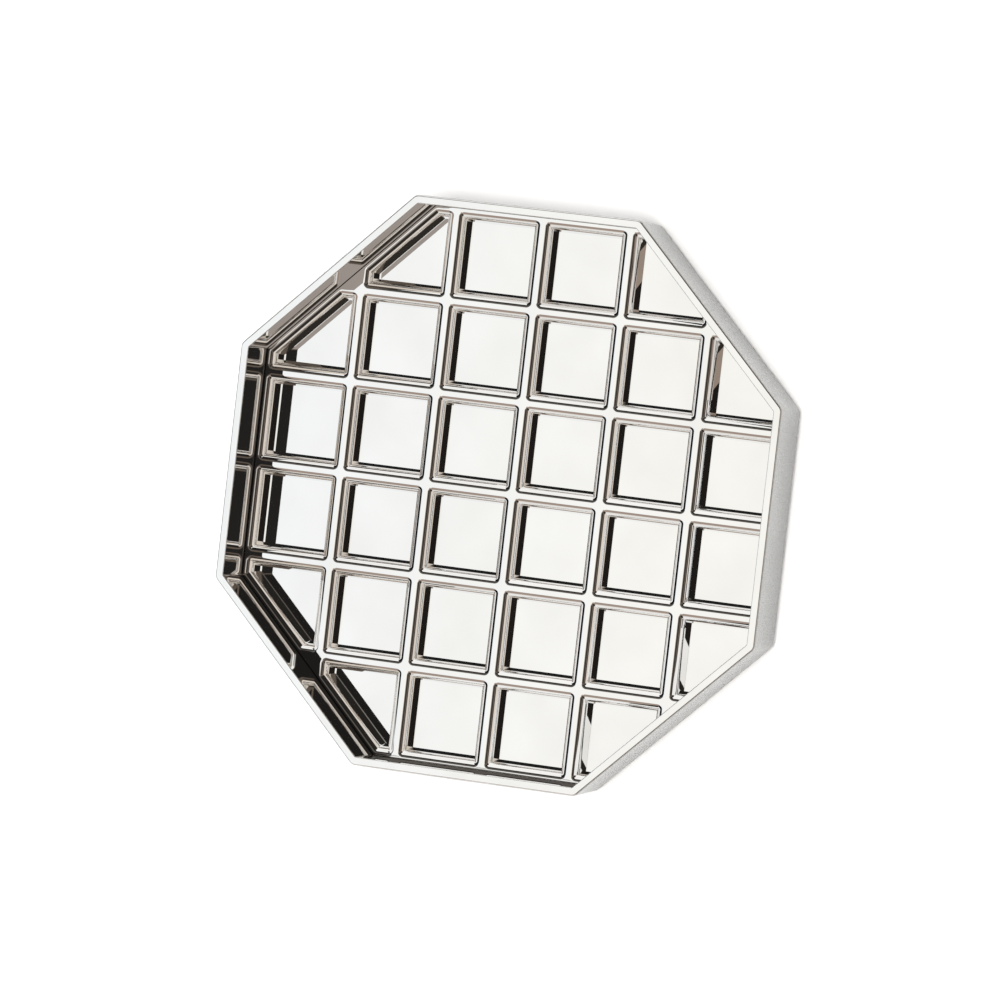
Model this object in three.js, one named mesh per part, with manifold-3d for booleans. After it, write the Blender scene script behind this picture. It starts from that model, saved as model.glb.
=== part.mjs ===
// Octagonal metal tray with a deep wall and a floor divided into square recesses by crossing ribs.
// Millimetres, +Z up. The origin is on the resting surface under the centre of the tray.
// X and Y run along the ribs and square to the flats of the wall.
import * as THREE from "three";
import { mergeVertices } from "three/addons/utils/BufferGeometryUtils.js";
import Module from "manifold-3d";

const wasm = await Module();
wasm.setup();

// Driving dimensions.
const gap = 0.3; // between pieces that touch

const acrossFlats = 400; // outside, at the rim
const rimWidth = 5.9; // flat top of the wall
const outerTaper = 2.0; // how far the outside leans in at the bottom, each side
const innerTaper = 0.3;
const rimEdgeRadius = 1.2; // outer top edge
const lipEdgeRadius = 0.5; // inner top edge
const bottomEdgeRadius = 1.6; // outer bottom edge
const outerCornerRadius = 6.4; // upright corners of the wall
const innerCornerRadius = 1.6;

const ribPitch = 64.6; // centre to centre, both ways
const ribsEachWay = 5;
const ribDrop = 36.0; // from the rim down to the flat tops of the ribs
const recessDepth = 12.0; // from the rib tops down to the polished floor
const ribLand = 3.4; // flat top of a rib
const ribSide = 7.3; // width of each sloping side
const shoulderRadius = 4.4;
const shoulderTurn = 68; // degrees that the rounded shoulder turns through

const floorThickness = 1.6;
const baseThickness = 2.0;
const baseInset = 3.6; // from the bottom outer edge of the wall
const padHeight = 2.6;
const padRadius = 9;
const padEdge = 1.0;
const padRing = 172; // distance of the pads from the centre
const padCount = 8;

const screwShank = 1.5; // radius
const screwHead = 3.0; // radius of the countersunk head
const screwSocket = 1.1; // radius of the hexagon socket
const screwSocketDepth = 1.0;
const railScrewReach = 4.6; // how far a screw goes up into an edge rail
const ribScrewReach = 9.0; // how far a screw goes up into a crossing of ribs
const railScrewInset = 3.9; // from the wall face to the screw in the middle of an edge rail

// Heights that follow from them.
const basePlateBottom = padHeight + gap;
const basePlateTop = basePlateBottom + baseThickness;
const floorBottom = basePlateTop + gap;
const floorTop = floorBottom + floorThickness;
const ribBottom = floorTop + gap;
const ribTop = floorTop + recessDepth;
const ribMiddle = (ribBottom + ribTop) / 2;
const wallBottom = floorBottom;
const rimTop = ribTop + ribDrop;
const wallHeight = rimTop - wallBottom;
const outerHalf = acrossFlats / 2;
const innerHalf = outerHalf - rimWidth;
const wallFace = innerHalf - innerTaper;

const materials = {
  satinPlate: new THREE.MeshStandardMaterial({ color: 0xc9c9c6, roughness: 0.3, metalness: 1 }),
  mirrorPlate: new THREE.MeshStandardMaterial({ color: 0xf2f1ec, roughness: 0.04, metalness: 1 }),
  brushedPlate: new THREE.MeshStandardMaterial({ color: 0xb4b2ac, roughness: 0.45, metalness: 1 }),
  steel: new THREE.MeshStandardMaterial({ color: 0x9d9fa2, roughness: 0.35, metalness: 1 }),
  felt: new THREE.MeshStandardMaterial({ color: 0x2b2a29, roughness: 0.95, metalness: 0 }),
};

const tray = new THREE.Group();

// A geometry as a closed solid that can be cut and joined.
function solidOf(geometry) {
  const bare = geometry.index ? geometry.toNonIndexed() : geometry.clone();
  bare.deleteAttribute("normal");
  bare.deleteAttribute("uv");
  const merged = mergeVertices(bare, 1e-4);
  return new wasm.Manifold(
    new wasm.Mesh({
      numProp: 3,
      vertProperties: new Float32Array(merged.attributes.position.array),
      triVerts: new Uint32Array(merged.index.array),
    }),
  );
}

// A cut or joined solid back as a geometry.
function geometryOf(solid) {
  const mesh = solid.getMesh();
  const geometry = new THREE.BufferGeometry();
  geometry.setAttribute("position", new THREE.BufferAttribute(new Float32Array(mesh.vertProperties), 3));
  geometry.setIndex(new THREE.BufferAttribute(new Uint32Array(mesh.triVerts), 1));
  geometry.computeVertexNormals();
  return geometry;
}

function addPart(name, geometry, material) {
  const part = new THREE.Mesh(geometry, material);
  part.name = name;
  tray.add(part);
}

const radians = THREE.MathUtils.degToRad;
const side = Math.PI / 4; // angle that one side of an octagon takes

// One level of an octagonal wall: half the distance across flats, a height and a corner radius.
function octagonRing(half, height, corner) {
  const points = [];
  const arcSteps = 4;
  const centre = (half - corner) / Math.cos(side / 2);
  for (let k = 0; k < 8; k++) {
    const middle = (k + 0.5) * side;
    for (let i = 0; i <= arcSteps; i++) {
      const turn = (k + i / arcSteps) * side;
      points.push([
        centre * Math.cos(middle) + corner * Math.cos(turn),
        centre * Math.sin(middle) + corner * Math.sin(turn),
        height,
      ]);
    }
  }
  return points;
}

// A ring-shaped solid whose section is the closed outline [half, height, corner], walked with the outside first.
function octagonBand(section) {
  const rings = section.map(([half, height, corner]) => octagonRing(half, height, corner));
  const count = rings[0].length;
  const positions = rings.flat(2);
  const index = [];
  for (let r = 0; r < rings.length; r++) {
    const here = r * count;
    const next = ((r + 1) % rings.length) * count;
    for (let i = 0; i < count; i++) {
      const j = (i + 1) % count;
      index.push(here + i, here + j, next + j);
      index.push(here + i, next + j, next + i);
    }
  }
  const geometry = new THREE.BufferGeometry();
  geometry.setAttribute("position", new THREE.Float32BufferAttribute(positions, 3));
  geometry.setIndex(index);
  geometry.computeVertexNormals();
  return geometry;
}

// A flat octagonal plate with sharp corners.
function octagonPlate(half, thickness, bottom) {
  const plate = new THREE.CylinderGeometry(half / Math.cos(side / 2), half / Math.cos(side / 2), thickness, 8);
  plate.rotateX(Math.PI / 2);
  plate.rotateZ(side / 2);
  plate.translate(0, 0, bottom + thickness / 2);
  return plate;
}

// The side of a rib from the edge of its flat top down to its foot, as distances [out, down].
function ribSideOutline() {
  const steps = 4;
  const drop = recessDepth - gap;
  const points = [];
  for (let i = 0; i <= steps; i++) {
    const turn = radians((shoulderTurn * i) / steps);
    points.push([shoulderRadius * Math.sin(turn), shoulderRadius * (1 - Math.cos(turn))]);
  }
  points.push([ribSide, drop]);
  return points;
}

// The full section of a rib, widened by extra on both sides.
function ribSection(extra = 0) {
  const shape = new THREE.Shape();
  const outline = ribSideOutline().map(([out, down]) => [ribLand / 2 + out + extra, ribTop - down]);
  const right = outline.map(([x, z]) => new THREE.Vector2(x, z + extra));
  const left = outline.map(([x, z]) => new THREE.Vector2(-x, z + extra)).reverse();
  right[right.length - 1].y = ribBottom - extra;
  left[0].y = ribBottom - extra;
  shape.setFromPoints([...left, ...right]);
  return shape;
}

// A bar of that section along X, centred on the origin.
function ribBar(length, extra = 0) {
  const bar = new THREE.ExtrudeGeometry(ribSection(extra), { depth: length, bevelEnabled: false });
  bar.translate(0, 0, -length / 2);
  bar.rotateX(Math.PI / 2);
  bar.rotateZ(Math.PI / 2);
  return bar;
}

function slab(bottom, top) {
  const block = new THREE.BoxGeometry(acrossFlats, acrossFlats, top - bottom);
  block.translate(0, 0, (bottom + top) / 2);
  return block;
}

// The octagonal half-rib that runs round the foot of the wall, widened by extra on its open side.
function edgeRailSection(extra = 0) {
  const face = ribPitch * (ribsEachWay + 1) / 2;
  const outside = extra > 0 ? outerHalf : wallFace - gap;
  const inner = ribSideOutline().map(([out, down]) => [face - ribLand / 2 - out - extra, ribTop - down + extra, 0]);
  inner[inner.length - 1][1] = ribBottom - extra;
  return [[outside, ribBottom - extra, 0], [outside, ribTop + extra, 0], ...inner];
}

// A wedge of one eighth of the tray about the +X side, less half a gap at both mitres.
function railWedge() {
  const reach = acrossFlats;
  const back = gap / 2 / Math.sin(side / 2);
  const spread = (reach - back) * Math.tan(side / 2);
  const shape = new THREE.Shape();
  shape.moveTo(back, 0);
  shape.lineTo(reach, -spread);
  shape.lineTo(reach, spread);
  const wedge = new THREE.ExtrudeGeometry(shape, { depth: acrossFlats, bevelEnabled: false });
  wedge.translate(0, 0, -acrossFlats / 2);
  return solidOf(wedge);
}

// A countersunk screw, head down, with its head at the underside of the base plate.
function screwOutline(reach, clearance) {
  const head = basePlateBottom + (clearance ? -1 : 0.1);
  const coneTop = basePlateBottom + baseThickness * 0.75;
  const tip = ribBottom + reach + clearance;
  const shank = screwShank + clearance;
  return [
    [0, head],
    [screwHead + clearance, head],
    [screwHead + clearance, basePlateBottom + 0.4],
    [shank, coneTop],
    [shank, tip - 0.5],
    [shank - 0.5, tip],
    [0, tip],
  ].map(([x, y]) => new THREE.Vector2(x, y));
}

function screwSolid(reach, clearance = 0) {
  const body = new THREE.LatheGeometry(screwOutline(reach, clearance), 12);
  body.rotateX(Math.PI / 2);
  return solidOf(body);
}

function screw(reach) {
  const socket = new THREE.CylinderGeometry(screwSocket, screwSocket, 2 * screwSocketDepth, 6);
  socket.rotateX(Math.PI / 2);
  socket.translate(0, 0, basePlateBottom + 0.1);
  return screwSolid(reach).subtract(solidOf(socket));
}

// Where the screws stand: one in each edge rail, and four where ribs cross.
const railScrewPlaces = Array.from({ length: 8 }, (_, k) => {
  const place = new THREE.Vector2(wallFace - railScrewInset, 0);
  return place.rotateAround(new THREE.Vector2(), k * side);
});
const ribScrewPlaces = [
  [1, 1],
  [-1, 1],
  [-1, -1],
  [1, -1],
].map(([i, j]) => new THREE.Vector2(i * ribPitch, j * ribPitch));

// Every screw hole as one solid, to be cut from a piece.
const screwHoles = wasm.Manifold.union([
  ...railScrewPlaces.map((p) => screwSolid(railScrewReach, gap).translate([p.x, p.y, 0])),
  ...ribScrewPlaces.map((p) => screwSolid(ribScrewReach, gap).translate([p.x, p.y, 0])),
]);

function buildWall() {
  const lean = outerTaper / wallHeight;
  const outsideAt = (height) => outerHalf - lean * (rimTop - height);
  const section = [[outsideAt(wallBottom) - bottomEdgeRadius, wallBottom, outerCornerRadius - 1]];
  section.push([outsideAt(wallBottom), wallBottom + bottomEdgeRadius, outerCornerRadius]);
  const steps = 3;
  for (let i = 0; i <= steps; i++) {
    const turn = radians((90 * i) / steps);
    section.push([
      outerHalf - rimEdgeRadius * (1 - Math.cos(turn)),
      rimTop - rimEdgeRadius * (1 - Math.sin(turn)),
      outerCornerRadius,
    ]);
  }
  section.push([innerHalf + lipEdgeRadius, rimTop, innerCornerRadius + lipEdgeRadius]);
  section.push([innerHalf, rimTop - lipEdgeRadius, innerCornerRadius]);
  section.push([wallFace, ribTop, innerCornerRadius]);
  section.push([wallFace, wallBottom, innerCornerRadius]);
  addPart("wall_band", octagonBand(section), materials.satinPlate);
}

function buildEdgeRails() {
  const ring = solidOf(octagonBand(edgeRailSection()));
  const wedge = railWedge();
  for (let k = 0; k < 8; k++) {
    const turned = wedge.rotate([0, 0, k * 45]);
    const rail = ring.intersect(turned).subtract(screwHoles);
    addPart(`edge_rail_${k + 1}`, geometryOf(rail), materials.mirrorPlate);
  }
}

// Ribs along X keep their upper half at each crossing, and ribs along Y their lower half.
function buildRibs() {
  const railRoom = solidOf(octagonBand(edgeRailSection(gap)));
  const inside = solidOf(octagonPlate(wallFace - gap, acrossFlats, -acrossFlats / 2));
  const full = solidOf(ribBar(acrossFlats));
  const roomAlongX = solidOf(ribBar(2 * acrossFlats, gap)).intersect(solidOf(slab(ribMiddle - gap / 2, rimTop)));
  const roomAlongY = solidOf(ribBar(2 * acrossFlats, gap))
    .rotate([0, 0, 90])
    .intersect(solidOf(slab(0, ribMiddle + gap / 2)));
  const first = -(ribsEachWay - 1) / 2;
  for (let i = 0; i < ribsEachWay; i++) {
    const offset = (first + i) * ribPitch;
    let alongX = full.translate([0, offset, 0]);
    let alongY = full.rotate([0, 0, 90]).translate([offset, 0, 0]);
    for (let j = 0; j < ribsEachWay; j++) {
      const crossing = (first + j) * ribPitch;
      alongX = alongX.subtract(roomAlongY.translate([crossing, 0, 0]));
      alongY = alongY.subtract(roomAlongX.translate([0, crossing, 0]));
    }
    [["rib_x", alongX], ["rib_y", alongY]].forEach(([name, bar]) => {
      const fitted = bar.intersect(inside).subtract(railRoom).subtract(screwHoles);
      const largest = fitted.decompose().sort((a, b) => b.volume() - a.volume())[0];
      addPart(`${name}_${i + 1}`, geometryOf(largest), materials.mirrorPlate);
    });
  }
}

function buildFloor() {
  const floor = solidOf(octagonPlate(wallFace - gap, floorThickness, floorBottom)).subtract(screwHoles);
  addPart("floor_sheet", geometryOf(floor), materials.mirrorPlate);
}

function buildBase() {
  const half = outerHalf - outerTaper - baseInset;
  const plate = solidOf(octagonPlate(half, baseThickness, basePlateBottom)).subtract(screwHoles);
  addPart("base_plate", geometryOf(plate), materials.brushedPlate);
}

function buildScrews() {
  railScrewPlaces.forEach((p, k) => {
    const part = screw(railScrewReach).translate([p.x, p.y, 0]);
    addPart(`rail_screw_${k + 1}`, geometryOf(part), materials.steel);
  });
  ribScrewPlaces.forEach((p, k) => {
    const part = screw(ribScrewReach).translate([p.x, p.y, 0]);
    addPart(`rib_screw_${k + 1}`, geometryOf(part), materials.steel);
  });
}

function buildPads() {
  const outline = [
    [0, 0],
    [padRadius - padEdge, 0],
    [padRadius, padEdge],
    [padRadius, padHeight],
    [0, padHeight],
  ].map(([x, y]) => new THREE.Vector2(x, y));
  for (let k = 0; k < padCount; k++) {
    const turn = (k + 0.5) * side;
    const pad = new THREE.LatheGeometry(outline, 24);
    pad.rotateX(Math.PI / 2);
    pad.translate(padRing * Math.cos(turn), padRing * Math.sin(turn), 0);
    addPart(`felt_pad_${k + 1}`, pad, materials.felt);
  }
}

buildWall();
buildEdgeRails();
buildRibs();
buildFloor();
buildBase();
buildScrews();
buildPads();

export default tray;
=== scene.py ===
import math

import bmesh
import bpy
from mathutils import Matrix, Vector


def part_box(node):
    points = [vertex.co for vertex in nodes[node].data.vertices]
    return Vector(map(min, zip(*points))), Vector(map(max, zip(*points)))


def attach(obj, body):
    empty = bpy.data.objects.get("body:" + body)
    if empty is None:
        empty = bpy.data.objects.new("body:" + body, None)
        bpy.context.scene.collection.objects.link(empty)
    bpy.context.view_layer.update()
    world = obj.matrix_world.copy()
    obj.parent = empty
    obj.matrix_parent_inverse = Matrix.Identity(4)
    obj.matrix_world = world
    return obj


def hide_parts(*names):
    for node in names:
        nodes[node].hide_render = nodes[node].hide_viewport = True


mm = 0.001
sideTurn = math.pi / 4  # angle that one side of the octagon takes
mergeDistance = 0.002 * mm

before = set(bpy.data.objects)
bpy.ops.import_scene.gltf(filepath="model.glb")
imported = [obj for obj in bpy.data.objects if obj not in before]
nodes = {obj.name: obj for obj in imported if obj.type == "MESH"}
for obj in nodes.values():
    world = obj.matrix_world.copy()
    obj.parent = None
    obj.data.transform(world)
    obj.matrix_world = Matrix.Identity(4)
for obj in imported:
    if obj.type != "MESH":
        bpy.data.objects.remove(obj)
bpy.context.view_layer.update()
wallLow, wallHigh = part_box("wall_band")
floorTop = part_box("floor_sheet")[1].z
ribLow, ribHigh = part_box("rib_x_3")
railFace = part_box("edge_rail_1")[1].x
print("frame loaded, rim at", round(wallHigh.z, 4))


# Node helpers.
def newMaterial(name):
    material = bpy.data.materials.new(name)
    material.use_nodes = True
    return material, material.node_tree.nodes, material.node_tree.links


def mapRange(tree, value, low, high, toLow, toHigh):
    node = tree.nodes.new("ShaderNodeMapRange")
    node.interpolation_type = "SMOOTHSTEP"
    tree.links.new(value, node.inputs["Value"])
    node.inputs["From Min"].default_value = low
    node.inputs["From Max"].default_value = high
    node.inputs["To Min"].default_value = toLow
    node.inputs["To Max"].default_value = toHigh
    return node.outputs["Result"]


def maths(tree, operation, first, second=None):
    node = tree.nodes.new("ShaderNodeMath")
    node.operation = operation
    for slot, value in zip(node.inputs, (first, second)):
        if value is None:
            continue
        if isinstance(value, (int, float)):
            slot.default_value = value
        else:
            tree.links.new(value, slot)
    return node.outputs[0]


def noise(tree, coordinate, scale, detail=2.0, stretch=(1, 1, 1)):
    mapping = tree.nodes.new("ShaderNodeMapping")
    mapping.inputs["Scale"].default_value = stretch
    tree.links.new(coordinate, mapping.inputs["Vector"])
    node = tree.nodes.new("ShaderNodeTexNoise")
    node.inputs["Scale"].default_value = scale
    node.inputs["Detail"].default_value = detail
    tree.links.new(mapping.outputs["Vector"], node.inputs["Vector"])
    return node.outputs["Fac"]


def ramp(tree, factor, stops):
    node = tree.nodes.new("ShaderNodeValToRGB")
    elements = node.color_ramp.elements
    while len(elements) < len(stops):
        elements.new(0.5)
    for element, (position, colour) in zip(elements, stops):
        element.position = position
        element.color = (*colour, 1)
    tree.links.new(factor, node.inputs["Fac"])
    return node.outputs["Color"]


# A plated or bare metal. Its colour drifts between two tones, fine polishing marks vary its roughness, and a slow
# ripple bends its reflections.
def metal(name, tones, roughness, ripple, rippleScale, grain=(1, 1, 1), grainScale=900, grainBump=0.0, cloudScale=22):
    material, _, links = newMaterial(name)
    tree = material.node_tree
    shader = tree.nodes["Principled BSDF"]
    shader.inputs["Metallic"].default_value = 1.0
    place = tree.nodes.new("ShaderNodeTexCoord").outputs["Object"]
    marks = noise(tree, place, grainScale, 3.0, grain)
    clouds = noise(tree, place, cloudScale, 2.0)
    links.new(ramp(tree, clouds, [(0.3, tones[0]), (0.7, tones[1])]), shader.inputs["Base Color"])
    links.new(mapRange(tree, marks, 0.3, 0.7, *roughness), shader.inputs["Roughness"])
    waves = noise(tree, place, rippleScale, 1.0)
    height = maths(tree, "ADD", maths(tree, "MULTIPLY", waves, ripple), maths(tree, "MULTIPLY", marks, grainBump))
    bump = tree.nodes.new("ShaderNodeBump")
    bump.inputs["Strength"].default_value = 1.0
    bump.inputs["Distance"].default_value = 1.0
    links.new(height, bump.inputs["Height"])
    links.new(bump.outputs["Normal"], shader.inputs["Normal"])
    return material


mirrorValues = dict(
    tones=((0.90, 0.895, 0.885), (0.95, 0.948, 0.942)), roughness=(0.008, 0.03), ripple=0.004 * mm, rippleScale=26,
)
mirrorPlate = metal("mirrorPlate", **mirrorValues)
# Satin plating for the outer sides: the satin finish is real, but its dark grey tone is painted shade that makes the
# outer walls look grey.
satinPaintedShadeValues = dict(
    tones=((0.225, 0.225, 0.223), (0.255, 0.255, 0.252)), roughness=(0.24, 0.32), ripple=0.002 * mm, rippleScale=30,
)
satinPlate = metal("satinPlate", **satinPaintedShadeValues)
brushedValues = dict(
    tones=((0.50, 0.495, 0.485), (0.60, 0.595, 0.585)), roughness=(0.32, 0.46), ripple=0.004 * mm, rippleScale=12,
    grain=(0.04, 1, 1), grainScale=1400, grainBump=0.006 * mm,
)
brushedPlate = metal("brushedPlate", **brushedValues)
steelValues = dict(
    tones=((0.42, 0.43, 0.44), (0.52, 0.53, 0.54)), roughness=(0.22, 0.38), ripple=0.002 * mm, rippleScale=90,
    grainScale=2500,
)
screwSteel = metal("screwSteel", **steelValues)
print("metals made")


# Mesh helpers.
def levelEdges(bm, height):
    return [e for e in bm.edges if all(abs(v.co.z - height) < 1e-6 for v in e.verts)]


# Rounds the corners of flat outlines. Each pass cuts every corner along a tangent of its circle, so that a later
# inset shrinks the circle evenly.
def roundCorners(bm, verts, radius, firstTurn, passes):
    for step in range(passes):
        turn = firstTurn / 2**step
        sharp = [w for w in verts if abs(w.calc_edge_angle(0) - turn) < 0.02]
        offset = radius * (math.tan(turn / 2) - math.tan(turn / 4))
        cut = bmesh.ops.bevel(
            bm, geom=sharp, offset=offset, offset_type="OFFSET", affect="VERTICES",
            segments=1, profile=0.5, material=-1,
        )
        verts = [w for w in verts if w.is_valid] + cut["verts"]


# A ring of eight sides with rounded corners. half is the distance from the centre to a side.
def octagonLoop(bm, half, height, corner=0.0, passes=3):
    place = Matrix.Translation((0, 0, height)) @ Matrix.Rotation(sideTurn / 2, 4, "Z")
    ring = bmesh.ops.create_circle(bm, cap_ends=False, segments=8, radius=half / math.cos(sideTurn / 2), matrix=place)
    if corner > 0:
        roundCorners(bm, ring["verts"], corner, sideTurn, passes)
    return levelEdges(bm, height)


# Turns a bmesh into a piece on the tray's body. Edges that turn more than sharpTurn degrees stay sharp, and wide flat
# faces keep their shading flat.
def finishPiece(bm, name, materials, replaced, sharpTurn=32):
    bmesh.ops.remove_doubles(bm, verts=bm.verts, dist=mergeDistance)
    bmesh.ops.recalc_face_normals(bm, faces=bm.faces)
    for face in bm.faces:
        face.smooth = True
    for edge in bm.edges:
        edge.smooth = edge.is_manifold and edge.calc_face_angle(0) < math.radians(sharpTurn)
    mesh = bpy.data.meshes.new(name)
    bm.to_mesh(mesh)
    bm.free()
    for material in materials:
        mesh.materials.append(material)
    piece = bpy.data.objects.new(name, mesh)
    bpy.context.scene.collection.objects.link(piece)
    weighted = piece.modifiers.new("flatShading", "WEIGHTED_NORMAL")
    weighted.mode = "FACE_AREA"
    weighted.weight = 50
    weighted.keep_sharp = True
    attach(piece, "root")
    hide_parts(*replaced)


# The wall: one band, satin outside with a dark grey tone of painted shade, polished over the rim and inside.
wallValues = dict(
    rimWidth=5.9 * mm, outerTaper=2.0 * mm, innerTaper=0.3 * mm, rimEdge=1.2 * mm, lipEdge=0.5 * mm,
    bottomEdge=1.6 * mm, outerCorner=6.4 * mm, innerCorner=1.6 * mm, cornerPasses=3, edgeSteps=(4, 6, 4),
)


def makeWall(v):
    bm = bmesh.new()
    outer = wallHigh.x
    inner = outer - v["rimWidth"]
    section = [
        (outer - v["outerTaper"], wallLow.z, v["outerCorner"]),
        (outer, wallHigh.z, v["outerCorner"]),
        (inner, wallHigh.z, v["innerCorner"]),
        (inner - v["innerTaper"], wallLow.z, v["innerCorner"]),
    ]
    # The rings are joined while they stand apart, and then slide to their heights.
    rings = [octagonLoop(bm, half, 1.0 + i, corner, v["cornerPasses"]) for i, (half, _, corner) in enumerate(section)]
    for here, there in zip(rings, rings[1:] + rings[:1]):
        bmesh.ops.bridge_loops(bm, edges=here + there)
    for i, (ring, (_, height, _)) in enumerate(zip(rings, section)):
        verts = list(dict.fromkeys(w for e in ring for w in e.verts))
        bmesh.ops.translate(bm, verts=verts, vec=(0, 0, height - 1.0 - i))
    widths = (v["bottomEdge"], v["rimEdge"], v["lipEdge"])
    for ring, width, steps in zip(range(3), widths, v["edgeSteps"]):
        bmesh.ops.bevel(
            bm, geom=rings[ring], offset=width, offset_type="OFFSET", affect="EDGES",
            segments=steps, profile=0.5, material=-1,
        )
    bmesh.ops.recalc_face_normals(bm, faces=bm.faces)
    for face in bm.faces:
        centre = face.calc_center_median()
        outward = face.normal.dot(Vector((centre.x, centre.y, 0)).normalized())
        face.material_index = 1 if outward > 0.75 or face.normal.z < -0.5 else 0
    finishPiece(bm, "wallBand", [mirrorPlate, satinPlate], ["wall_band"])


makeWall(wallValues)
print("wall made")

# The lattice: the edges of 32 recesses, each a rounded shoulder and a steep side, with corners that run out sharp.
latticeValues = dict(
    pitch=64.6 * mm, land=2.2 * mm, side=7.4 * mm, shoulder=6.0 * mm, turn=math.radians(77), turnSteps=12,
    corner=4.6 * mm, cornerPasses=3, cornerGap=0.1 * mm, cornerClose=0.995,
    ribHalf=9.2 * mm, railWidth=9.1 * mm, foot=0.12 * mm, sharpTurn=40,
)


# Runs of neighbours in a ring of vertices that stand closer than gap. Each becomes the sharp end of a corner.
def closeTogether(ring, gap):
    runs = [[ring[0]]]
    for w in ring[1:]:
        if (w.co - runs[-1][-1].co).length < gap:
            runs[-1].append(w)
        else:
            runs.append([w])
    if len(runs) > 1 and (ring[0].co - ring[-1].co).length < gap:
        runs[0] = runs.pop() + runs[0]
    return [run for run in runs if len(run) > 1]


def makeLattice(v):
    bm = bmesh.new()
    top = ribHigh.z
    bottom = floorTop + v["foot"]
    wallFace = 3 * v["pitch"]
    half = (v["pitch"] - v["land"]) / 2
    places = [-2.5, -1.5, -0.5, 0.5, 1.5, 2.5]
    for column in places:
        for row in places:
            reach = abs(column) + abs(row)
            if reach > 4.5:
                continue
            centre = Matrix.Translation((column * v["pitch"], row * v["pitch"], top))
            made = bmesh.ops.create_grid(bm, x_segments=1, y_segments=1, size=half, matrix=centre)
            face = made["verts"][0].link_faces[0]
            if reach > 3.5:
                away = Vector((math.copysign(1, column), math.copysign(1, row), 0)).normalized()
                geom = list(face.verts) + list(face.edges) + [face]
                bmesh.ops.bisect_plane(
                    bm, geom=geom, dist=1e-6, plane_co=away * (wallFace - v["land"] / 2), plane_no=away,
                    clear_outer=True,
                )
    roundCorners(bm, list(bm.verts), v["corner"], math.pi / 2, v["cornerPasses"])
    faces = list(bm.faces)
    print("recesses", len(faces))
    # How far out and down each ring of a recess lies: round the shoulder, where the corners close, and at the foot.
    cornerOut = v["corner"] * v["cornerClose"]
    turns = [v["turn"] * i / v["turnSteps"] for i in range(1, v["turnSteps"] + 1)]
    levels = [(v["shoulder"] * math.sin(turn), v["shoulder"] * (1 - math.cos(turn))) for turn in turns]
    closing = math.asin(cornerOut / v["shoulder"])
    levels = sorted(levels + [(cornerOut, v["shoulder"] * (1 - math.cos(closing))), (v["side"], top - bottom)])
    outLast, downLast = 0.0, 0.0
    for out, down in levels:
        bmesh.ops.inset_individual(
            bm, faces=faces, thickness=out - outLast, depth=downLast - down, use_even_offset=True,
        )
        if out == cornerOut:
            for corner in [c for f in faces for c in closeTogether(list(f.verts), v["cornerGap"])]:
                middle = sum((w.co for w in corner), Vector()) / len(corner)
                bmesh.ops.pointmerge(bm, verts=corner, merge_co=middle)
            faces = [f for f in bm.faces if all(abs(w.co.z - (top - down)) < 1e-6 for w in f.verts)]
        outLast, downLast = out, down
    for w in dict.fromkeys(w for f in faces for w in f.verts):  # set the feet in line, to 0.1 mm
        w.co.x, w.co.y = round(w.co.x, 4), round(w.co.y, 4)
    bmesh.ops.delete(bm, geom=faces, context="FACES_ONLY")
    octagonLoop(bm, railFace, top)
    octagonLoop(bm, railFace, bottom)
    outerLoops = [e for e in bm.edges if not e.link_faces]
    for height, up in ((top, 1), (bottom, -1)):
        edges = [e for e in levelEdges(bm, height) if len(e.link_faces) < 2]
        bmesh.ops.triangle_fill(bm, use_beauty=True, use_dissolve=False, edges=edges, normal=(0, 0, up))
    bmesh.ops.bridge_loops(bm, edges=outerLoops)
    bmesh.ops.remove_doubles(bm, verts=bm.verts, dist=mergeDistance)
    bmesh.ops.recalc_face_normals(bm, faces=bm.faces)
    mesh = bpy.data.meshes.new("latticeWhole")
    bm.to_mesh(mesh)
    print("lattice", len(bm.faces), "faces, open edges", sum(1 for e in bm.edges if not e.is_manifold))
    bm.free()
    return mesh


# Keeps the part of bm that lies behind every plane, and closes each cut.
def clip(bm, planes):
    for point, away in planes:
        geom = list(bm.verts) + list(bm.edges) + list(bm.faces)
        cut = bmesh.ops.bisect_plane(bm, geom=geom, dist=1e-6, plane_co=point, plane_no=away, clear_outer=True)
        made = [g for g in cut["geom_cut"] if isinstance(g, bmesh.types.BMEdge) and g.is_valid]
        edges = [e for e in made if len(e.link_faces) == 1]
        if edges:
            bmesh.ops.triangle_fill(bm, use_beauty=True, use_dissolve=True, edges=edges, normal=away)


def sideDirection(k):
    return Vector((math.cos(k * sideTurn), math.sin(k * sideTurn), 0))


# One bar: the parts of the whole lattice inside the given regions.
def cutPiece(whole, regions, name, replaced):
    bm = bmesh.new()
    for planes in regions:
        part = bmesh.new()
        part.from_mesh(whole)
        clip(part, planes)
        if part.faces:
            scrap = bpy.data.meshes.new("scrap")
            part.to_mesh(scrap)
            bm.from_mesh(scrap)
            bpy.data.meshes.remove(scrap)
        part.free()
    finishPiece(bm, name, [mirrorPlate], [replaced], latticeValues["sharpTurn"])


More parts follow.
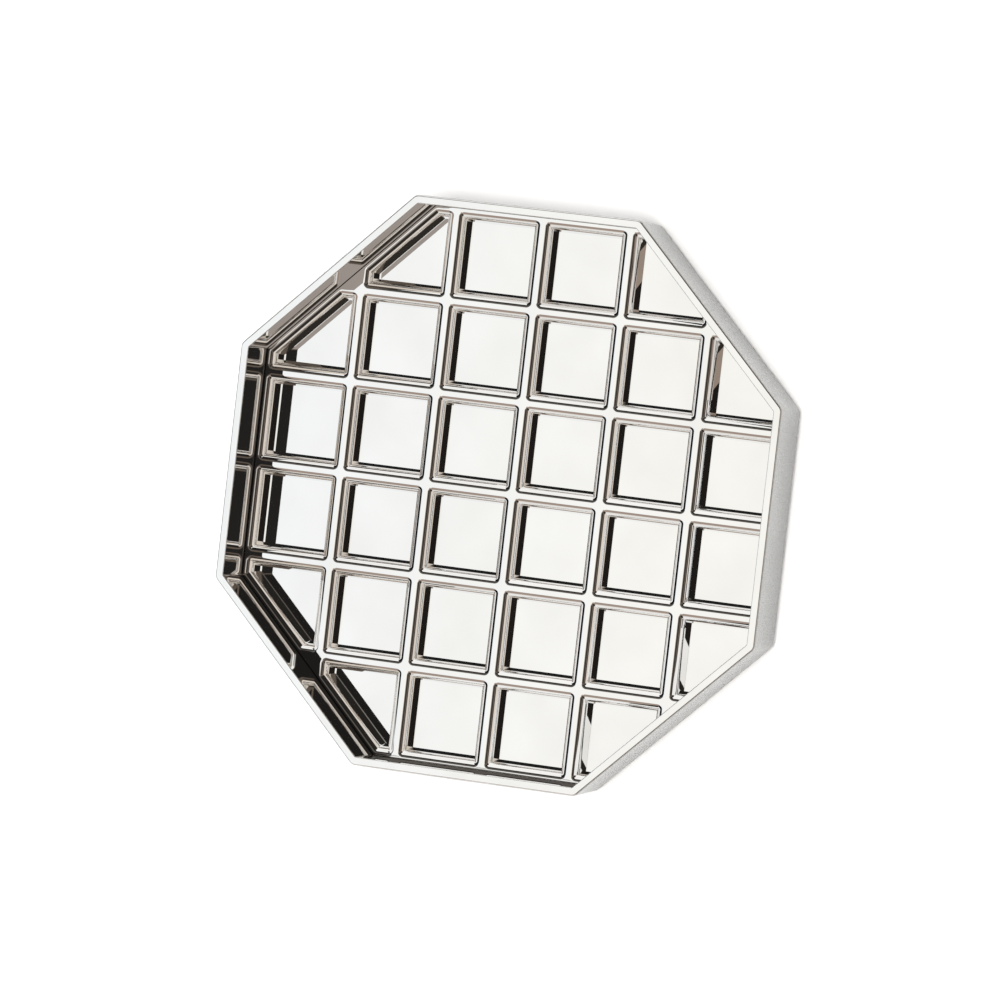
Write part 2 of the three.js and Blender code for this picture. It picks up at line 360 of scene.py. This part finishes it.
def makeBars(v):
    whole = makeLattice(v)
    railInside = 3 * v["pitch"] - v["railWidth"]
    middle = [(sideDirection(k) * railInside, sideDirection(k)) for k in range(8)]
    along, across = Vector((1, 0, 0)), Vector((0, 1, 0))
    centres = [(i - 2) * v["pitch"] for i in range(5)]
    for i, y in enumerate(centres):
        strip = [(across * (y + v["ribHalf"]), across), (across * (y - v["ribHalf"]), -across)]
        cutPiece(whole, [strip + middle], f"ribX{i + 1}", f"rib_x_{i + 1}")
    ends = [-1.0] + centres + [1.0]  # the outer two lie beyond the wall
    for i, x in enumerate(centres):
        strip = [(along * (x + v["ribHalf"]), along), (along * (x - v["ribHalf"]), -along)]
        regions = [
            strip + [(across * (low + v["ribHalf"]), -across), (across * (high - v["ribHalf"]), across)] + middle
            for low, high in zip(ends, ends[1:])
        ]
        cutPiece(whole, regions, f"ribY{i + 1}", f"rib_y_{i + 1}")
    for k in range(8):
        mitres = [sideDirection(k + half + 2) for half in (-0.5, 0.5)]  # a quarter turn on from each corner
        region = [(sideDirection(k) * railInside, -sideDirection(k)), (Vector(), -mitres[0]), (Vector(), mitres[1])]
        cutPiece(whole, [region], f"edgeRail{k + 1}", f"edge_rail_{k + 1}")
    bpy.data.meshes.remove(whole)


makeBars(latticeValues)
print("bars made")

feltValues = dict(
    dark=(0.012, 0.011, 0.011), light=(0.05, 0.048, 0.046), fibreScale=2600, fibreStretch=(1, 0.35, 1),
    roughness=0.95, sheen=0.3, fuzz=0.2 * mm, fuzzStrength=0.6,
)


def makeFelt(v):
    material, _, links = newMaterial("felt")
    tree = material.node_tree
    shader = tree.nodes["Principled BSDF"]
    shader.inputs["Roughness"].default_value = v["roughness"]
    shader.inputs["Sheen Weight"].default_value = v["sheen"]
    place = tree.nodes.new("ShaderNodeTexCoord").outputs["Object"]
    fibres = noise(tree, place, v["fibreScale"], 5.0, v["fibreStretch"])
    links.new(ramp(tree, fibres, [(0.35, v["dark"]), (0.65, v["light"])]), shader.inputs["Base Color"])
    bump = tree.nodes.new("ShaderNodeBump")
    bump.inputs["Strength"].default_value = v["fuzzStrength"]
    bump.inputs["Distance"].default_value = v["fuzz"]
    links.new(fibres, bump.inputs["Height"])
    links.new(bump.outputs["Normal"], shader.inputs["Normal"])
    return material


felt = makeFelt(feltValues)

# The floor sheet and the base plate keep their shapes and get their finishes here.
for name, finish in (("floor_sheet", mirrorPlate), ("base_plate", brushedPlate)):
    nodes[name].data.materials.clear()
    nodes[name].data.materials.append(finish)
print("finishes assigned")


# A closed turned shape through rings of (radius, height, sides). The rings are joined while they stand apart, and
# then slide to their heights.
def turned(place, rings):
    bm = bmesh.new()
    loops = []
    for i, (radius, _, sides) in enumerate(rings):
        ring = bmesh.ops.create_circle(
            bm, cap_ends=i in (0, len(rings) - 1), segments=sides, radius=radius,
            matrix=Matrix.Translation((place.x, place.y, 1.0 + i)),
        )
        loops.append(list(dict.fromkeys(ring["verts"])))
    for i in range(len(rings) - 1):
        edges = [e for height in (1.0 + i, 2.0 + i) for e in levelEdges(bm, height)]
        bmesh.ops.bridge_loops(bm, edges=edges)
    for i, (verts, (_, height, _)) in enumerate(zip(loops, rings)):
        bmesh.ops.translate(bm, verts=verts, vec=(0, 0, height - 1.0 - i))
    return bm


# Countersunk screws with a six-sided socket, heads down in the base plate.
screwValues = dict(
    head=3.0 * mm, rim=0.15 * mm, cylinder=0.4 * mm, cone=1.5 * mm, shank=1.5 * mm, point=0.5 * mm,
    socket=1.1 * mm, socketDepth=1.0 * mm, socketSides=6, sides=32,
)


def makeScrew(name, v):
    low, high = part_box(name)
    sides = v["sides"]
    bm = turned((low + high) / 2, [
        (v["socket"], low.z + v["socketDepth"], v["socketSides"]),
        (v["socket"], low.z, v["socketSides"]),
        (v["head"] - v["rim"], low.z, sides),
        (v["head"], low.z + v["rim"], sides),
        (v["head"], low.z + v["cylinder"], sides),
        (v["shank"], low.z + v["cone"], sides),
        (v["shank"], high.z - v["point"], sides),
        (v["shank"] - v["point"], high.z, sides),
    ])
    words = name.split("_")
    finishPiece(bm, words[0] + words[1].capitalize() + words[2], [screwSteel], [name])


# Felt pads: discs with a soft lower edge and a slightly sunken middle. middle and slope hold the share of the radius
# and of the dish's depth at two rings.
padValues = dict(edge=0.9 * mm, steps=5, sides=48, dish=0.15 * mm, middle=(0.45, 1.0), slope=(0.75, 0.3))


def makePad(name, v):
    low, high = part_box(name)
    radius = (high.x - low.x) / 2
    sides = v["sides"]
    rings = [(radius * share, low.z + v["dish"] * depth, sides) for share, depth in (v["middle"], v["slope"])]
    for i in range(v["steps"] + 1):
        turn = math.pi / 2 * i / v["steps"]
        rings.append((radius - v["edge"] * (1 - math.sin(turn)), low.z + v["edge"] * (1 - math.cos(turn)), sides))
    rings.append((radius, high.z, sides))
    finishPiece(turned((low + high) / 2, rings), "feltPad" + name[-1], [felt], [name])


for name in nodes:
    if "screw" in name:
        makeScrew(name, screwValues)
    elif name.startswith("felt_pad"):
        makePad(name, padValues)
print("screws and pads made")

# The studio floor lies a hair below the pads.
floorValues = dict(
    size=12.0, drop=0.2 * mm, tones=((0.86, 0.86, 0.855), (0.87, 0.87, 0.865)), toneScale=3.0,
    roughness=0.9, specular=0.1,
)


def makeFloor(v):
    bm = bmesh.new()
    below = Matrix.Translation((0, 0, -v["drop"]))
    bmesh.ops.create_grid(bm, x_segments=1, y_segments=1, size=v["size"], matrix=below)
    mesh = bpy.data.meshes.new("studioFloor")
    bm.to_mesh(mesh)
    bm.free()
    floor = bpy.data.objects.new("studioFloor", mesh)
    bpy.context.scene.collection.objects.link(floor)
    material, _, links = newMaterial("studioFloor")
    tree = material.node_tree
    shader = tree.nodes["Principled BSDF"]
    shader.inputs["Roughness"].default_value = v["roughness"]
    shader.inputs["Specular IOR Level"].default_value = v["specular"]
    place = tree.nodes.new("ShaderNodeTexCoord").outputs["Object"]
    tone = noise(tree, place, v["toneScale"])
    links.new(ramp(tree, tone, [(0.3, v["tones"][0]), (0.7, v["tones"][1])]), shader.inputs["Base Color"])
    # From below the floor is clear, so that the underside can be seen.
    clear = tree.nodes.new("ShaderNodeBsdfTransparent")
    mix = tree.nodes.new("ShaderNodeMixShader")
    links.new(tree.nodes.new("ShaderNodeNewGeometry").outputs["Backfacing"], mix.inputs["Fac"])
    links.new(shader.outputs["BSDF"], mix.inputs[1])
    links.new(clear.outputs["BSDF"], mix.inputs[2])
    links.new(mix.outputs["Shader"], tree.nodes["Material Output"].inputs["Surface"])
    mesh.materials.append(material)


makeFloor(floorValues)
print("floor made")


# The studio round the tray, by direction. u is how far to +X and w how far to +Y a direction leans, for each unit that
# it rises, so both are 0 straight up. Each row holds a colour, u from and to, w from and to, and how soft the edge is.
# A later row lies over the earlier ones. The white panel lies over the zones, and the marks lie over the panel.
studioValues = dict(
    room=[(0.0, (0.75, 0.72, 0.68)), (0.2, (0.85, 0.83, 0.80)), (0.5, (0.78, 0.74, 0.70)), (1.0, (0.30, 0.28, 0.27))],
    zones=[
        ((1.0, 1.0, 1.0), -60.0, -2.4, -60.0, 60.0, 0.3),  # bright wall on the -X side
        ((1.0, 0.99, 0.97), -2.4, 1.4, 1.75, 60.0, 0.2),  # bright wall on the +Y side
        ((0.36, 0.285, 0.24), -1.3, 1.0, -1.5, -0.46, 0.06),  # warm screen on the -Y side
        ((0.74, 0.66, 0.58), 1.05, 2.9, -60.0, 60.0, 0.15),  # cream wall on the +X side
        ((0.06, 0.05, 0.045), 3.1, 60.0, -60.0, 60.0, 0.35),  # dark foot of that wall
        ((0.98, 0.97, 0.95), -0.7, 0.6, 0.64, 2.4, 0.08),
        ((0.10, 0.09, 0.08), -0.7, 0.6, 0.04, 0.40, 0.03),
        ((0.014, 0.014, 0.014), -0.7, 0.6, 0.36, 0.66, 0.03),
        ((0.012, 0.012, 0.012), -2.4, -0.66, -1.4, 1.4, 0.10),  # black frame of the panel
        ((0.125, 0.10, 0.082), 0.02, 0.78, -0.8, 0.6, 0.06),  # brown ceiling over the tray
        ((0.014, 0.012, 0.011), 0.78, 1.08, -1.6, 1.6, 0.04),
        ((0.03, 0.026, 0.022), 0.1, 0.95, -1.7, -0.44, 0.06),
        ((0.02, 0.018, 0.016), 0.1, 0.95, 0.44, 1.7, 0.06),
    ],
    panel=(-0.69, 0.02, -0.48, 0.04),
    panelSoft=0.03,
    panelTones=((0.96, 0.985, 1.0), (1.0, 0.985, 0.94)),  # cool to warm
    panelTurn=(-0.42, -0.30),  # where along u the one becomes the other
    marks=[
        ((0.014, 0.013, 0.012), -0.08, 0.17, 0.24, 0.47, 0.03),
        ((0.018, 0.017, 0.016), 0.25, 0.46, -0.16, 0.08, 0.03),
        ((0.36, 0.32, 0.29), -0.17, 0.07, -0.46, -0.24, 0.03),
    ],
    horizon=0.02,  # least rise, so that u and w stay finite
    backdrop=(0.93, 0.93, 0.925),
)


def makeSurroundings(v):
    world = bpy.data.worlds.new("studio")
    world.use_nodes = True
    bpy.context.scene.world = world
    tree = world.node_tree
    background = tree.nodes["Background"]
    place = tree.nodes.new("ShaderNodeTexCoord").outputs["Generated"]
    parts = tree.nodes.new("ShaderNodeSeparateXYZ")
    tree.links.new(place, parts.inputs[0])
    x, y, z = parts.outputs
    height = maths(tree, "MAXIMUM", z, v["horizon"])
    u = maths(tree, "DIVIDE", x, height)
    w = maths(tree, "DIVIDE", y, height)

    def between(value, low, high, soft):
        begins = mapRange(tree, value, low - soft, low + soft, 0, 1)
        ends = mapRange(tree, value, high - soft, high + soft, 1, 0)
        return maths(tree, "MULTIPLY", begins, ends)

    def patch(uLow, uHigh, wLow, wHigh, soft):
        return maths(tree, "MULTIPLY", between(u, uLow, uHigh, soft), between(w, wLow, wHigh, soft))

    def mixed(base, colour, mask):
        node = tree.nodes.new("ShaderNodeMix")
        node.data_type = "RGBA"
        tree.links.new(mask, node.inputs["Factor"])
        tree.links.new(base, node.inputs["A"])
        if isinstance(colour, tuple):
            node.inputs["B"].default_value = (*colour, 1)
        else:
            tree.links.new(colour, node.inputs["B"])
        return node.outputs["Result"]

    colour = ramp(tree, z, v["room"])
    for tone, *reach in v["zones"]:
        colour = mixed(colour, tone, patch(*reach))
    along = mapRange(tree, u, *v["panelTurn"], 0, 1)
    panelTone = ramp(tree, along, list(zip((0.0, 1.0), v["panelTones"])))
    colour = mixed(colour, panelTone, patch(*v["panel"], v["panelSoft"]))
    for tone, *reach in v["marks"]:
        colour = mixed(colour, tone, patch(*reach))
    # Straight on, the room shows as a plain pale backdrop.
    straight = tree.nodes.new("ShaderNodeLightPath").outputs["Is Camera Ray"]
    tree.links.new(mixed(colour, v["backdrop"], straight), background.inputs["Color"])
    background.inputs["Strength"].default_value = 1.0


makeSurroundings(studioValues)
print("surroundings made")


# Soft lights for the floor and the felt: they don't show in the polished metal.
lightValues = dict(
    overheadLight=dict(place=(0.3, 0.0, 3.0), size=2.2, power=150),
    sideLight=dict(place=(2.2, -1.9, 1.8), size=1.6, power=36),
)


def softLight(name, place, size, power):
    data = bpy.data.lights.new(name, "AREA")
    data.shape = "DISK"
    data.size = size
    data.energy = power
    light = bpy.data.objects.new(name, data)
    light.location = place
    light.rotation_euler = (-Vector(place)).to_track_quat("-Z", "Y").to_euler()
    light.visible_glossy = False
    bpy.context.scene.collection.objects.link(light)


for name, values in lightValues.items():
    softLight(name, **values)

# The camera's axes, and its place as a multiple of the tray's width, from the middle of the rim.
cameraValues = dict(
    back=(0.33359, 0.03976, 0.94188), up=(-0.12010, 0.99276, 0.00063), right=(0.93504, 0.11333, -0.33595),
    reach=(4.54577, 0.53187, 12.80403), lens=282.83, sensor=36, farthest=50,
)


def makeCamera(v):
    data = bpy.data.cameras.new("camera")
    data.sensor_width = v["sensor"]
    data.lens = v["lens"]
    data.clip_end = v["farthest"]
    camera = bpy.data.objects.new("camera", data)
    turn = Matrix((v["right"], v["up"], v["back"])).transposed().to_4x4()
    width = 2 * wallHigh.x
    place = Vector(v["reach"]) * width + Vector((0, 0, wallHigh.z))
    camera.matrix_world = Matrix.Translation(place) @ turn
    bpy.context.scene.collection.objects.link(camera)
    bpy.context.scene.camera = camera


makeCamera(cameraValues)
scene = bpy.context.scene
scene.view_settings.view_transform = "Standard"
scene.cycles.max_bounces = 16  # light goes to and fro between polished bars, wall and floor sheet
scene.cycles.glossy_bounces = 14
print("studio made")
